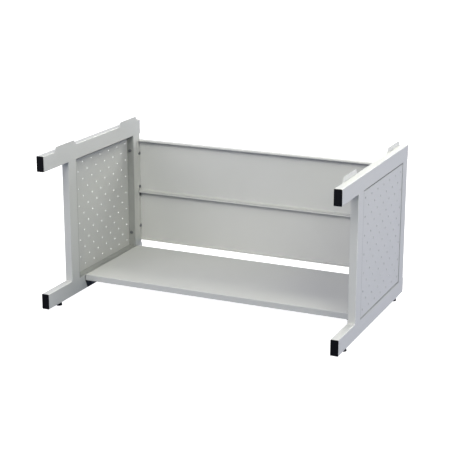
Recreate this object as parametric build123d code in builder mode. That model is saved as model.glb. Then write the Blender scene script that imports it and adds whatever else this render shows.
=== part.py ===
"""Free-standing side-frame rack for filing, in painted steel.

Two C-shaped side frames of rectangular tube carry a perforated panel each. Two bent back panels and one
low shelf tie them together. Locating tabs stand on the top rails, black plugs close the tube ends, and
four levelling feet screw into the bottom rails.

Frame: +Z up, +Y to the back, +X to the right seen from the front. The origin is on the floor, under the
middle of the rack. All sizes are in millimetres.
"""

from build123d import *

import os

# Overall sizes
OVERALL_WIDTH = 1000.0  # outer face to outer face of the side frames
RAIL_LENGTH = 630.0  # top and bottom rails, front to back
FRAME_HEIGHT = 500.0  # underside of the bottom rail to the top of the top rail
FLOOR_CLEARANCE = 12.0  # floor to the underside of the bottom rail, feet screwed fully in

# Rectangular tube of the rails and posts
TUBE_WIDTH = 25.0  # across the rack
TUBE_DEPTH = 50.0  # the other side of the section
TUBE_WALL = 1.5
TUBE_RADIUS = 2.0  # outer corner
FRONT_POST_SETBACK = 146.0  # front end of the rails to the front post
POST_COPE = 1.6  # how far the posts' ends reach down over the rails' round corners

# Locating tabs on the top rails
TAB_THICKNESS = 2.0
TAB_LENGTH = 128.0
TAB_HEIGHT = 15.0
TAB_SLOPE = 10.0  # how far each end leans in over the tab's height
FRONT_TAB_SETBACK = 66.0  # front end of the rail to the front tab
REAR_TAB_SETBACK = 18.0  # rear end of the rail to the rear tab

# Plugs in the tube ends
PLUG_HEAD = 3.0
PLUG_HEAD_INSET = 0.1  # head's outline inside the tube's outline
PLUG_HEAD_ROUND = 0.6
PLUG_RIM = 3.0
PLUG_RECESS = 0.6
PLUG_DEPTH = 16.0
PLUG_CLEARANCE = 0.15
PLUG_WALL = 1.8

# Perforated side panels, bent pans between rails and posts
SIDE_SHEET = 1.0
SIDE_PAN_DEPTH = 20.0
SIDE_PANEL_INSET = 1.2  # panel's face behind the tubes' outer faces
SIDE_PANEL_TOP_GAP = 2.0  # between the panel and the top rail
SIDE_PANEL_BOTTOM_GAP = 0.8
HOLE_PITCH = 29.2  # half the distance between holes of one row
HOLE_RADIUS = 2.5
HOLE_MARGIN = 14.0  # least distance from a hole's centre to the panel's edge
SIDE_SCREW_MARGIN = 50.0  # panel's top or bottom edge to its screws

# Back panels, bent pans between the rear posts
BACK_SHEET = 1.2
BACK_PAN_DEPTH = 18.0
LOWER_BACK_BOTTOM = 67.0  # above the underside of the bottom rail
LOWER_BACK_HEIGHT = 179.0
BACK_SEAM = 1.0
UPPER_BACK_HEIGHT = 184.0
BACK_SCREW_MARGIN = 50.0  # outer edge of a back panel to its screw
BACK_SEAM_MARGIN = 14.0  # seam edge of a back panel to its other screw
BACK_LIP = 5.0  # turned down in front of the top edge
BACK_LIP_RADIUS = 1.5

# Bends of the pans
BEND_RADIUS = 2.0
CORNER_RELIEF = 3.5

# Shelf, a pan with its edges turned down and in
SHELF_SHEET = 1.2
SHELF_HEIGHT = 20.0
SHELF_LIP = 14.0
SHELF_END_GAP = 2.5
SHELF_SETBACK = 32.0  # rear face of the front post to the shelf's front edge
SHELF_REAR_SPACE = 36.0  # shelf's rear edge to the rear end of the rails

# Angle brackets that carry the shelf's ends
BRACKET_SHEET = 2.0
BRACKET_LEG = 30.0
BRACKET_LIFT = 2.0  # lower edge of the bracket above the underside of the rail
BRACKET_CUT = 13.0  # how far the front end leans back
BRACKET_SCREW_MARGIN = 40.0  # bracket's end to its screws

# Screws and rivet nuts, 5 mm thread
SCREW_RADIUS = 2.5
SCREW_HEAD_RADIUS = 5.5
SCREW_HEAD_HEIGHT = 3.0
SCREW_HEAD_ROUND = 1.4
SCREW_LENGTH = 14.0
SCREW_SOCKET = 3.0  # across the flats
SCREW_SOCKET_DEPTH = 1.6
SCREW_CLEARANCE = 0.25
THREAD_CLEARANCE = 0.05
RIVET_NUT_RADIUS = 3.5
RIVET_NUT_LENGTH = 11.0
RIVET_NUT_BULGE = 1.2
RIVET_NUT_BULGE_LENGTH = 3.0
NUT_ACROSS_FLATS = 8.0
NUT_HEIGHT = 4.0
DRILL_DEPTH = 4.0  # past one sheet or tube wall, short of the next one

# Levelling feet
FRONT_FOOT_SETBACK = 80.0  # front end of the rail to the foot's axis
REAR_FOOT_SETBACK = 60.0  # rear end of the rail to the foot's axis
STUD_RADIUS = 4.0
STUD_RISE = 28.0  # stud's top above the underside of the rail
STUD_HEX = 13.0
STUD_HEX_HEIGHT = 3.0
STUD_NECK_RADIUS = 3.0
STUD_BUTTON_RADIUS = 5.0
STUD_BUTTON_HEIGHT = 2.8
STUD_CHAMFER = 0.8
FOOT_CLEARANCE = 0.3  # between the stud and the pad, and under the insert's flange
PAD_RADIUS = 10.0
PAD_FLOOR = 1.6
PAD_ROUND = 1.0
INSERT_RADIUS = 5.5
INSERT_LENGTH = 16.0
INSERT_BULGE = 1.5
INSERT_BULGE_LENGTH = 4.0
INSERT_FLANGE = 0.8
INSERT_FLANGE_RADIUS = 7.5

# Planes and lines that several pieces share, on the right-hand side
OUTER_X = OVERALL_WIDTH / 2
INNER_X = OUTER_X - TUBE_WIDTH
TUBE_X = OUTER_X - TUBE_WIDTH / 2
FRONT_Y = -RAIL_LENGTH / 2
REAR_Y = RAIL_LENGTH / 2
BASE_Z = FLOOR_CLEARANCE
LOWER_RAIL_TOP = BASE_Z + TUBE_DEPTH
TOP_Z = BASE_Z + FRAME_HEIGHT
UPPER_RAIL_BOTTOM = TOP_Z - TUBE_DEPTH
FRONT_POST_FRONT = FRONT_Y + FRONT_POST_SETBACK
FRONT_POST_REAR = FRONT_POST_FRONT + TUBE_DEPTH
REAR_POST_FRONT = REAR_Y - TUBE_DEPTH
SHELF_TOP = LOWER_RAIL_TOP
SHELF_BOTTOM = SHELF_TOP - SHELF_HEIGHT
SHELF_FRONT = FRONT_POST_REAR + SHELF_SETBACK
SHELF_REAR = REAR_Y - SHELF_REAR_SPACE
SHELF_END = INNER_X - SHELF_END_GAP
LOWER_BACK_Z = BASE_Z + LOWER_BACK_BOTTOM
LOWER_BACK_TOP = LOWER_BACK_Z + LOWER_BACK_HEIGHT
UPPER_BACK_Z = LOWER_BACK_TOP + BACK_SEAM
UPPER_BACK_TOP = UPPER_BACK_Z + UPPER_BACK_HEIGHT
BACK_SCREW_Y = REAR_Y - BACK_PAN_DEPTH / 2
BACK_SCREW_HEIGHTS = (
    LOWER_BACK_Z + BACK_SCREW_MARGIN,
    LOWER_BACK_TOP - BACK_SEAM_MARGIN,
    UPPER_BACK_Z + BACK_SEAM_MARGIN,
    UPPER_BACK_TOP - BACK_SCREW_MARGIN,
)
PANEL_BOTTOM = LOWER_RAIL_TOP + SIDE_PANEL_BOTTOM_GAP
PANEL_TOP = UPPER_RAIL_BOTTOM - SIDE_PANEL_TOP_GAP
SIDE_SCREW_HEIGHTS = (PANEL_BOTTOM + SIDE_SCREW_MARGIN, PANEL_TOP - SIDE_SCREW_MARGIN)
BRACKET_SCREW_YS = (SHELF_FRONT + BRACKET_SCREW_MARGIN, SHELF_REAR - BRACKET_SCREW_MARGIN)
BRACKET_TOP = SHELF_BOTTOM
BRACKET_BOTTOM = BASE_Z + BRACKET_LIFT
BRACKET_SCREW_Z = (BRACKET_BOTTOM + BRACKET_TOP - BRACKET_SHEET) / 2
SHELF_SCREW_X = SHELF_END - SHELF_LIP / 2
FOOT_YS = {"front": FRONT_Y + FRONT_FOOT_SETBACK, "rear": REAR_Y - REAR_FOOT_SETBACK}


def save(piece, name):
    """Label a finished piece and write it to its own file."""
    piece.label = name
    export_step(piece, f"parts/{name}.step")


def save_pair(piece, name):
    """Write a right-hand piece and its left-hand mirror image."""
    save(piece, f"right_{name}")
    with BuildPart() as other_side:
        mirror(piece, about=Plane.YZ)
    save(other_side.part, f"left_{name}")


def facing_x(x, y, z):
    """A plane whose normal points along +X, with its own x along Y."""
    return Plane((x, y, z), x_dir=(0, 1, 0), z_dir=(1, 0, 0))


def facing_y(x, y, z):
    """A plane whose normal points along +Y, with its own x along -X."""
    return Plane((x, y, z), x_dir=(-1, 0, 0), z_dir=(0, 1, 0))


def flipped(plane):
    """The same plane seen from behind: its normal points the other way."""
    return Plane(plane.origin, x_dir=plane.x_dir, z_dir=-plane.z_dir)


def flipped_all(planes):
    """Each of the planes, flipped."""
    return [flipped(plane) for plane in planes]


def head_seats(planes, sheet):
    """The seats moved out by the sheets that the screws clamp."""
    return [plane.offset(sheet) for plane in planes]


def tube(plane, width, depth, length):
    """A straight rectangular tube that rises from the plane."""
    with BuildPart() as straight_tube:
        with BuildSketch(plane):
            RectangleRounded(width, depth, TUBE_RADIUS)
            RectangleRounded(
                width - 2 * TUBE_WALL,
                depth - 2 * TUBE_WALL,
                TUBE_RADIUS - TUBE_WALL,
                mode=Mode.SUBTRACT,
            )
        extrude(amount=length)
    return straight_tube.part


def bent_pan(plane, width, height, depth, sheet):
    """A sheet pan: its face lies on the plane, and its four edges are bent up along the normal.

    The bent edges are cut back at the corners, from the end of the bend on.
    """
    with BuildPart() as pan:
        with BuildSketch(plane):
            Rectangle(width, height)
        extrude(amount=depth)
        across = pan.faces().sort_by(Axis(plane.origin, plane.z_dir))
        fillet(across[0].edges(), radius=BEND_RADIUS)
        rim = pan.faces().sort_by(Axis(plane.origin, plane.z_dir))[-1]
        offset(amount=-sheet, openings=rim)
        with BuildSketch(plane.offset(BEND_RADIUS)):
            with GridLocations(width - CORNER_RELIEF, height - CORNER_RELIEF, 2, 2):
                Rectangle(CORNER_RELIEF, CORNER_RELIEF)
        extrude(amount=depth - BEND_RADIUS, mode=Mode.SUBTRACT)
    return pan.part


def drilled(piece, planes, radius, depth):
    """A copy of the piece with a round hole from each plane, along its normal."""
    with BuildPart() as with_holes:
        add(piece)
        for plane in planes:
            with BuildSketch(plane):
                Circle(radius)
            extrude(amount=depth, mode=Mode.SUBTRACT)
    return with_holes.part


def pan_head_screws(planes, length=SCREW_LENGTH):
    """Socket screws, one on each plane: the head stands on the plane, the shank goes the other way."""
    with BuildPart() as screws:
        for plane in planes:
            with BuildSketch(plane):
                Circle(SCREW_HEAD_RADIUS)
            extrude(amount=SCREW_HEAD_HEIGHT)
            with BuildSketch(plane):
                Circle(SCREW_RADIUS)
            extrude(amount=-length)
            with BuildSketch(plane.offset(SCREW_HEAD_HEIGHT)):
                RegularPolygon(SCREW_SOCKET / 2, 6, major_radius=False)
            extrude(amount=-SCREW_SOCKET_DEPTH, mode=Mode.SUBTRACT)
        tops = [e for e in screws.edges().filter_by(GeomType.CIRCLE) if is_head_rim(e, planes)]
        fillet(tops, radius=SCREW_HEAD_ROUND)
    return screws.part


def is_head_rim(edge, planes):
    """Whether an edge is the outer rim on top of one of the screw heads."""
    if abs(edge.radius - SCREW_HEAD_RADIUS) > 1e-6:
        return False
    heights = [plane.to_local_coords(edge.arc_center) for plane in planes]
    return any(abs(at.Z - SCREW_HEAD_HEIGHT) < 1e-6 and abs(at.X) + abs(at.Y) < 1e-6 for at in heights)


def rivet_nuts(planes):
    """Flush rivet nuts set in a tube's wall, one on each plane, which is the wall's outer face."""
    with BuildPart() as nuts:
        for plane in planes:
            with BuildSketch(plane):
                Circle(RIVET_NUT_RADIUS)
            extrude(amount=-RIVET_NUT_LENGTH)
            with BuildSketch(plane.offset(-TUBE_WALL)):
                Circle(RIVET_NUT_RADIUS + RIVET_NUT_BULGE)
            extrude(amount=-RIVET_NUT_BULGE_LENGTH)
            with BuildSketch(plane):
                Circle(SCREW_RADIUS + THREAD_CLEARANCE)
            extrude(amount=-RIVET_NUT_LENGTH, mode=Mode.SUBTRACT)
    return nuts.part


def hex_nuts(planes):
    """Hexagon nuts, one standing on each plane."""
    with BuildPart() as nuts:
        for plane in planes:
            with BuildSketch(plane):
                RegularPolygon(NUT_ACROSS_FLATS / 2, 6, major_radius=False)
                Circle(SCREW_RADIUS + THREAD_CLEARANCE, mode=Mode.SUBTRACT)
            extrude(amount=NUT_HEIGHT)
    return nuts.part


# Where the screws go on the right-hand side. Each plane is the face that the screw's nut is set in,
# and its normal points towards the screw's head.
rear_side_seats = [flipped(facing_y(TUBE_X, REAR_POST_FRONT, z)) for z in SIDE_SCREW_HEIGHTS]
front_side_seats = [facing_y(TUBE_X, FRONT_POST_REAR, z) for z in SIDE_SCREW_HEIGHTS]
back_screw_seats = [flipped(facing_x(INNER_X, BACK_SCREW_Y, z)) for z in BACK_SCREW_HEIGHTS]
bracket_screw_seats = [flipped(facing_x(INNER_X, y, BRACKET_SCREW_Z)) for y in BRACKET_SCREW_YS]
shelf_screw_seats = [
    flipped(Plane((SHELF_SCREW_X, y, SHELF_BOTTOM - BRACKET_SHEET))) for y in BRACKET_SCREW_YS
]
foot_axes = {row: Plane((TUBE_X, y, 0)) for row, y in FOOT_YS.items()}


def top_rail():
    """The upper tube of a side frame, front to back."""
    return tube(facing_y(TUBE_X, FRONT_Y, TOP_Z - TUBE_DEPTH / 2), TUBE_WIDTH, TUBE_DEPTH, RAIL_LENGTH)


def bottom_rail():
    """The lower tube of a side frame, drilled for the feet and for the bracket's rivet nuts."""
    rail = tube(facing_y(TUBE_X, FRONT_Y, BASE_Z + TUBE_DEPTH / 2), TUBE_WIDTH, TUBE_DEPTH, RAIL_LENGTH)
    rail = drilled(rail, foot_axes.values(), INSERT_RADIUS, BASE_Z + DRILL_DEPTH)
    return drilled(rail, flipped_all(bracket_screw_seats), RIVET_NUT_RADIUS, DRILL_DEPTH)


def post(front, seats):
    """An upright tube of a side frame, drilled for rivet nuts.

    Its ends are shaped to the rails' round corners, so that the outer faces run on flush.
    """
    foot = Plane((TUBE_X, front + TUBE_DEPTH / 2, LOWER_RAIL_TOP - POST_COPE))
    length = UPPER_RAIL_BOTTOM - LOWER_RAIL_TOP + 2 * POST_COPE
    with BuildPart() as upright:
        add(tube(foot, TUBE_WIDTH, TUBE_DEPTH, length))
        with BuildSketch(facing_y(TUBE_X, FRONT_Y, BASE_Z + FRAME_HEIGHT / 2)):
            with GridLocations(0, FRAME_HEIGHT - TUBE_DEPTH, 1, 2):
                RectangleRounded(TUBE_WIDTH, TUBE_DEPTH, TUBE_RADIUS)
        extrude(amount=RAIL_LENGTH, mode=Mode.SUBTRACT)
    return drilled(upright.part, flipped_all(seats), RIVET_NUT_RADIUS, DRILL_DEPTH)


def side_panel():
    """The perforated pan between the posts, with two staggered grids of round holes."""
    length = REAR_POST_FRONT - FRONT_POST_REAR
    height = PANEL_TOP - PANEL_BOTTOM
    middle_y = (REAR_POST_FRONT + FRONT_POST_REAR) / 2
    middle_z = (PANEL_TOP + PANEL_BOTTOM) / 2
    face = flipped(facing_x(OUTER_X - SIDE_PANEL_INSET, middle_y, middle_z))
    pan = bent_pan(face, length, height, SIDE_PAN_DEPTH, SIDE_SHEET)
    columns = int((length - 2 * HOLE_MARGIN) / (2 * HOLE_PITCH)) + 1
    rows = int((height - 2 * HOLE_MARGIN) / (2 * HOLE_PITCH)) + 1
    with BuildPart() as panel:
        add(pan)
        with BuildSketch(face):
            with GridLocations(2 * HOLE_PITCH, 2 * HOLE_PITCH, columns, rows):
                Circle(HOLE_RADIUS)
            with GridLocations(2 * HOLE_PITCH, 2 * HOLE_PITCH, columns - 1, rows - 1):
                Circle(HOLE_RADIUS)
        extrude(amount=SIDE_SHEET, mode=Mode.SUBTRACT)
    seats = front_side_seats + rear_side_seats
    return drilled(panel.part, seats, SCREW_RADIUS + SCREW_CLEARANCE, DRILL_DEPTH)


def locating_tab(front):
    """A plate welded on the top rail's inner edge, with sloping ends and its foot on the tube's corner."""
    with BuildPart() as tab:
        with BuildSketch(facing_x(INNER_X, front + TAB_LENGTH / 2, TOP_Z)):
            with BuildLine():
                Polyline(
                    (-TAB_LENGTH / 2, -TUBE_RADIUS),
                    (-TAB_LENGTH / 2, 0),
                    (-TAB_LENGTH / 2 + TAB_SLOPE, TAB_HEIGHT),
                    (TAB_LENGTH / 2 - TAB_SLOPE, TAB_HEIGHT),
                    (TAB_LENGTH / 2, 0),
                    (TAB_LENGTH / 2, -TUBE_RADIUS),
                    close=True,
                )
            make_face()
        extrude(amount=TAB_THICKNESS)
        with BuildSketch(facing_y(TUBE_X, FRONT_Y, TOP_Z - TUBE_DEPTH / 2)):
            RectangleRounded(TUBE_WIDTH, TUBE_DEPTH, TUBE_RADIUS)
        extrude(amount=RAIL_LENGTH, mode=Mode.SUBTRACT)
    return tab.part


def end_plug(rail_end):
    """A moulded plug: a head over the tube's end with a shallow recess, and a hollow body in the tube.

    The plane lies across the tube's end, and its normal points out of the tube.
    """
    head_width = TUBE_WIDTH - 2 * PLUG_HEAD_INSET
    head_depth = TUBE_DEPTH - 2 * PLUG_HEAD_INSET
    body_width = TUBE_WIDTH - 2 * (TUBE_WALL + PLUG_CLEARANCE)
    body_depth = TUBE_DEPTH - 2 * (TUBE_WALL + PLUG_CLEARANCE)
    with BuildPart() as plug:
        with BuildSketch(rail_end):
            RectangleRounded(head_width, head_depth, TUBE_RADIUS - PLUG_HEAD_INSET)
        extrude(amount=PLUG_HEAD)
        outside = plug.faces().sort_by(Axis(rail_end.origin, rail_end.z_dir))[-1]
        fillet(outside.edges(), radius=PLUG_HEAD_ROUND)
        with BuildSketch(rail_end.offset(PLUG_HEAD)):
            Rectangle(head_width - 2 * PLUG_RIM, head_depth - 2 * PLUG_RIM)
        extrude(amount=-PLUG_RECESS, mode=Mode.SUBTRACT)
        with BuildSketch(rail_end):
            Rectangle(body_width, body_depth)
            Rectangle(body_width - 2 * PLUG_WALL, body_depth - 2 * PLUG_WALL, mode=Mode.SUBTRACT)
        extrude(amount=-PLUG_DEPTH)
        corners = plug.edges().filter_by(Axis.Y).group_by(SortBy.LENGTH)[-1]
        fillet(corners.group_by(Axis.X)[0] + corners.group_by(Axis.X)[-1], radius=TUBE_RADIUS - TUBE_WALL)
    return plug.part


def shelf():
    """The low shelf: one sheet with its four edges turned down, and then in."""
    middle_y = (SHELF_FRONT + SHELF_REAR) / 2
    width = 2 * SHELF_END
    depth = SHELF_REAR - SHELF_FRONT
    with BuildPart() as tray:
        with BuildSketch(Plane((0, middle_y, SHELF_BOTTOM))):
            Rectangle(width, depth)
        extrude(amount=SHELF_HEIGHT)
        fillet(tray.faces().sort_by(Axis.Z)[-1].edges(), radius=BEND_RADIUS)
        with BuildSketch(Plane((0, middle_y, SHELF_BOTTOM + SHELF_SHEET))):
            Rectangle(width - 2 * SHELF_SHEET, depth - 2 * SHELF_SHEET)
        extrude(amount=SHELF_HEIGHT - 2 * SHELF_SHEET, mode=Mode.SUBTRACT)
        with BuildSketch(Plane((0, middle_y, SHELF_BOTTOM))):
            Rectangle(width - 2 * SHELF_LIP, depth - 2 * SHELF_LIP)
        extrude(amount=SHELF_SHEET, mode=Mode.SUBTRACT)
    both_ends = shelf_screw_seats + [mirrored_seat(plane) for plane in shelf_screw_seats]
    through = BRACKET_SHEET + DRILL_DEPTH
    return drilled(tray.part, flipped_all(both_ends), SCREW_RADIUS + SCREW_CLEARANCE, through)


def mirrored_seat(plane):
    """The same vertical screw seat at the other end of the rack."""
    return Plane((-plane.origin.X, plane.origin.Y, plane.origin.Z), x_dir=plane.x_dir, z_dir=plane.z_dir)


def shelf_bracket():
    """The angle under the shelf's end, with its front end cut back at a slant."""
    length = SHELF_REAR - SHELF_FRONT
    with BuildPart() as bracket:
        with BuildSketch(facing_y(INNER_X, SHELF_FRONT, BRACKET_TOP)):
            with BuildLine():
                Polyline(
                    (0, 0),
                    (BRACKET_LEG, 0),
                    (BRACKET_LEG, -BRACKET_SHEET),
                    (BRACKET_SHEET, -BRACKET_SHEET),
                    (BRACKET_SHEET, BRACKET_BOTTOM - BRACKET_TOP),
                    (0, BRACKET_BOTTOM - BRACKET_TOP),
                    close=True,
                )
            make_face()
        extrude(amount=length)
        with BuildSketch(facing_x(INNER_X, SHELF_FRONT, BRACKET_BOTTOM)):
            with BuildLine():
                Polyline((0, 0), (BRACKET_CUT, 0), (0, BRACKET_TOP - BRACKET_BOTTOM), close=True)
            make_face()
        extrude(amount=-BRACKET_LEG, mode=Mode.SUBTRACT)
        back_edge = bracket.edges().filter_by(Axis.Y).sort_by(Axis.X)[-2:]
        fillet(back_edge.sort_by(Axis.Z)[-1], radius=BRACKET_SHEET)
    clear = SCREW_RADIUS + SCREW_CLEARANCE
    piece = drilled(bracket.part, bracket_screw_seats, clear, DRILL_DEPTH)
    return drilled(piece, flipped_all(shelf_screw_seats), clear, DRILL_DEPTH)


def back_panel(bottom, height, screw_heights):
    """A plain pan between the rear posts: its edges are bent forwards, and the top one down again."""
    face = flipped(facing_y(0, REAR_Y, bottom + height / 2))
    with BuildPart() as pan:
        add(bent_pan(face, 2 * INNER_X, height, BACK_PAN_DEPTH, BACK_SHEET))
        with BuildSketch(facing_y(0, REAR_Y - BACK_PAN_DEPTH, bottom + height - BACK_LIP / 2)):
            Rectangle(2 * (INNER_X - CORNER_RELIEF), BACK_LIP)
        extrude(amount=BACK_SHEET)
        front_edges = pan.edges().filter_by(Axis.X).group_by(Axis.Y)[0]
        fillet(front_edges.sort_by(Axis.Z)[-1], radius=BACK_LIP_RADIUS)
    seats = [facing_x(-INNER_X, BACK_SCREW_Y, z) for z in screw_heights]
    panel = drilled(pan.part, seats, SCREW_RADIUS + SCREW_CLEARANCE, DRILL_DEPTH)
    seats = [flipped(facing_x(INNER_X, BACK_SCREW_Y, z)) for z in screw_heights]
    return drilled(panel, seats, SCREW_RADIUS + SCREW_CLEARANCE, DRILL_DEPTH)


def foot_insert(axis):
    """The threaded insert in the underside of the bottom rail."""
    with BuildPart() as insert:
        with BuildSketch(axis.offset(BASE_Z)):
            Circle(INSERT_RADIUS)
        extrude(amount=INSERT_LENGTH)
        with BuildSketch(axis.offset(BASE_Z - INSERT_FLANGE)):
            Circle(INSERT_FLANGE_RADIUS)
        extrude(amount=INSERT_FLANGE)
        with BuildSketch(axis.offset(BASE_Z + TUBE_WALL)):
            Circle(INSERT_RADIUS + INSERT_BULGE)
        extrude(amount=INSERT_BULGE_LENGTH)
        with BuildSketch(axis.offset(BASE_Z - INSERT_FLANGE)):
            Circle(STUD_RADIUS + THREAD_CLEARANCE)
        extrude(amount=INSERT_FLANGE + INSERT_LENGTH, mode=Mode.SUBTRACT)
    return insert.part


def foot_heights():
    """Heights over the floor of the stud's button, pad and hexagon, from the floor upwards."""
    hex_top = BASE_Z - INSERT_FLANGE - FOOT_CLEARANCE
    hex_bottom = hex_top - STUD_HEX_HEIGHT
    button_bottom = PAD_FLOOR + FOOT_CLEARANCE
    button_top = button_bottom + STUD_BUTTON_HEIGHT
    pad_top = hex_bottom - FOOT_CLEARANCE
    return button_bottom, button_top, pad_top, hex_bottom, hex_top


def foot_stud(axis):
    """The screw of a levelling foot, with its hexagon, neck and the button that the pad turns on."""
    button_bottom, button_top, _, hex_bottom, hex_top = foot_heights()
    with BuildPart() as stud:
        with BuildSketch(axis.offset(button_bottom)):
            Circle(STUD_BUTTON_RADIUS)
        extrude(amount=button_top - button_bottom)
        with BuildSketch(axis.offset(button_top)):
            Circle(STUD_NECK_RADIUS)
        extrude(amount=hex_bottom - button_top)
        with BuildSketch(axis.offset(hex_bottom)):
            RegularPolygon(STUD_HEX / 2, 6, major_radius=False)
        extrude(amount=STUD_HEX_HEIGHT)
        with BuildSketch(axis.offset(hex_top)):
            Circle(STUD_RADIUS)
        extrude(amount=BASE_Z + STUD_RISE - hex_top)
        chamfer(stud.edges().sort_by(Axis.Z)[-1], length=STUD_CHAMFER)
    return stud.part


def foot_pad(axis):
    """The round pad of a levelling foot, closed around the stud's button."""
    button_bottom, button_top, pad_top, _, _ = foot_heights()
    with BuildPart() as pad:
        with BuildSketch(axis):
            Circle(PAD_RADIUS)
        extrude(amount=pad_top)
        fillet(pad.edges().filter_by(GeomType.CIRCLE), radius=PAD_ROUND)
        with BuildSketch(axis.offset(button_bottom - FOOT_CLEARANCE)):
            Circle(STUD_BUTTON_RADIUS + FOOT_CLEARANCE)
        extrude(amount=button_top - button_bottom + 2 * FOOT_CLEARANCE, mode=Mode.SUBTRACT)
        with BuildSketch(axis.offset(button_top)):
            Circle(STUD_NECK_RADIUS + FOOT_CLEARANCE)
        extrude(amount=pad_top - button_top, mode=Mode.SUBTRACT)
    return pad.part


os.makedirs("parts", exist_ok=True)

# Welded side frames
save_pair(top_rail(), "top_rail")
save_pair(bottom_rail(), "bottom_rail")
save_pair(post(FRONT_POST_FRONT, front_side_seats), "front_post")
save_pair(post(REAR_POST_FRONT, rear_side_seats + back_screw_seats), "rear_post")
save_pair(locating_tab(FRONT_Y + FRONT_TAB_SETBACK), "front_locating_tab")
save_pair(locating_tab(REAR_Y - REAR_TAB_SETBACK - TAB_LENGTH), "rear_locating_tab")
save_pair(side_panel(), "side_panel")

# Plugs in the four open ends of each side frame
for level, height in {"top": TOP_Z - TUBE_DEPTH / 2, "bottom": BASE_Z + TUBE_DEPTH / 2}.items():
    save_pair(end_plug(flipped(facing_y(TUBE_X, FRONT_Y, height))), f"{level}_front_plug")
    save_pair(end_plug(facing_y(TUBE_X, REAR_Y, height)), f"{level}_rear_plug")

# Shelf, brackets and back panels
save(shelf(), "shelf")
save_pair(shelf_bracket(), "shelf_bracket")
save(back_panel(LOWER_BACK_Z, LOWER_BACK_HEIGHT, BACK_SCREW_HEIGHTS[:2]), "lower_back_panel")
save(back_panel(UPPER_BACK_Z, UPPER_BACK_HEIGHT, BACK_SCREW_HEIGHTS[2:]), "upper_back_panel")

# Fasteners
side_seats = front_side_seats + rear_side_seats
save_pair(pan_head_screws(head_seats(side_seats, SIDE_SHEET)), "side_panel_screws")
save_pair(rivet_nuts(side_seats), "side_panel_rivet_nuts")
save_pair(pan_head_screws(head_seats(back_screw_seats, BACK_SHEET)), "back_panel_screws")
save_pair(rivet_nuts(back_screw_seats), "back_panel_rivet_nuts")
save_pair(pan_head_screws(head_seats(bracket_screw_seats, BRACKET_SHEET)), "bracket_screws")
save_pair(rivet_nuts(bracket_screw_seats), "bracket_rivet_nuts")
save_pair(pan_head_screws(shelf_screw_seats), "shelf_screws")
nut_seats = head_seats(shelf_screw_seats, -BRACKET_SHEET - SHELF_SHEET)
save_pair(hex_nuts(flipped_all(nut_seats)), "shelf_nuts")

# Levelling feet
for row, foot_axis in foot_axes.items():
    save_pair(foot_insert(foot_axis), f"{row}_foot_insert")
    save_pair(foot_stud(foot_axis), f"{row}_foot_stud")
    save_pair(foot_pad(foot_axis), f"{row}_foot_pad")
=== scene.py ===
"""A free-standing file rack in light grey powder coat: finishes, moulded and turned pieces, and a stage.

The file is laid out as a Blender add-on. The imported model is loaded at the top, each operator finishes or
builds one kind of piece, and main() calls them in order.
"""

import math

import bmesh
import bpy
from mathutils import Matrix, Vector


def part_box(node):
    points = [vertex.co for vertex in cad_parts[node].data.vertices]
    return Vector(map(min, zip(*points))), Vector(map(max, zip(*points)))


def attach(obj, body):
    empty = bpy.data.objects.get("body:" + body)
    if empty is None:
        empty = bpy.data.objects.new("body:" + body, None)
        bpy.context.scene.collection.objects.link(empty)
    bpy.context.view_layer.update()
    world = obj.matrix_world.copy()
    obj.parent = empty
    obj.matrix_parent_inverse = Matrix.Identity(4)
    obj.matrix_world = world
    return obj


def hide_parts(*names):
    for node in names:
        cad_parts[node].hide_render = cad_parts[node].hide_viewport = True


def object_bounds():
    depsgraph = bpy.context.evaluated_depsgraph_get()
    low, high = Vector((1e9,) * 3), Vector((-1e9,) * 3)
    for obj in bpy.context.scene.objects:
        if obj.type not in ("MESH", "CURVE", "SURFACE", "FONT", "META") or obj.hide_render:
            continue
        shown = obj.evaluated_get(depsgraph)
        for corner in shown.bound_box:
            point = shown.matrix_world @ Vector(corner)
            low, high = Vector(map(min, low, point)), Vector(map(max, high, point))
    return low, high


bl_info = {
    "name": "File Rack",
    "version": (1, 0, 0),
    "blender": (4, 5, 0),
    "location": "3D View > Sidebar > File Rack",
    "description": "Finishes and details a powder-coated steel file rack",
    "category": "Object",
}

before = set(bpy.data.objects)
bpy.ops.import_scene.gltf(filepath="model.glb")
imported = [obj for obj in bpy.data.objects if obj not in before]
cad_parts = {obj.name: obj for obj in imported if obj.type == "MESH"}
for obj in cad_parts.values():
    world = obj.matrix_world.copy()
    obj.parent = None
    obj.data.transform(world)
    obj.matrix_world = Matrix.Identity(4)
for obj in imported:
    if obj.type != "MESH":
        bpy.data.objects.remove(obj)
cad_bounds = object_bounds()

BODY = "rack"
SIDES = ("left", "right")
ROWS = ("front", "rear")
LEVELS = ("top", "bottom")
FRAME_NODES = (
    "top_rail",
    "bottom_rail",
    "front_post",
    "rear_post",
    "front_locating_tab",
    "rear_locating_tab",
)
SHEET_NODES = ("shelf", "lower_back_panel", "upper_back_panel")
RIGHT_PANEL = "right_side_panel"
MM = 0.001
CLOSE = MM / 1000  # points nearer than this are level, or the same point
Y = 1
Z = 2

# Holes of the side panels, on a square lattice turned by 45 degrees
HOLE_RADIUS = 2.5 * MM
HOLE_SPACING = 41.295 * MM  # from a hole's centre to the nearest ones

# Painted shade round the holes and along the side panels' outlines, which makes the holes and the gaps look
# dark
HOLE_SHADE_RING = 1.8 * MM  # width of the ring of painted shade round each hole
EDGE_SHADE_DARKEST = 1.0 * MM  # how far in from a panel's bent edges the painted shade is darkest
EDGE_SHADE_END = 3.0 * MM  # and how far in it has faded out
JOINT_SHADE_DARKEST = 2.8 * MM  # the same painted shade on the tubes, outwards from the panel
JOINT_SHADE_END = 4.2 * MM
FADE = {"interpolation_type": "SMOOTHSTEP", "To Min": 1.0, "To Max": 0.0}  # from 1 down to 0

# Sockets of the Mix node when it mixes colours
FIRST = 6
SECOND = 7
MIXED = 2

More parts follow.
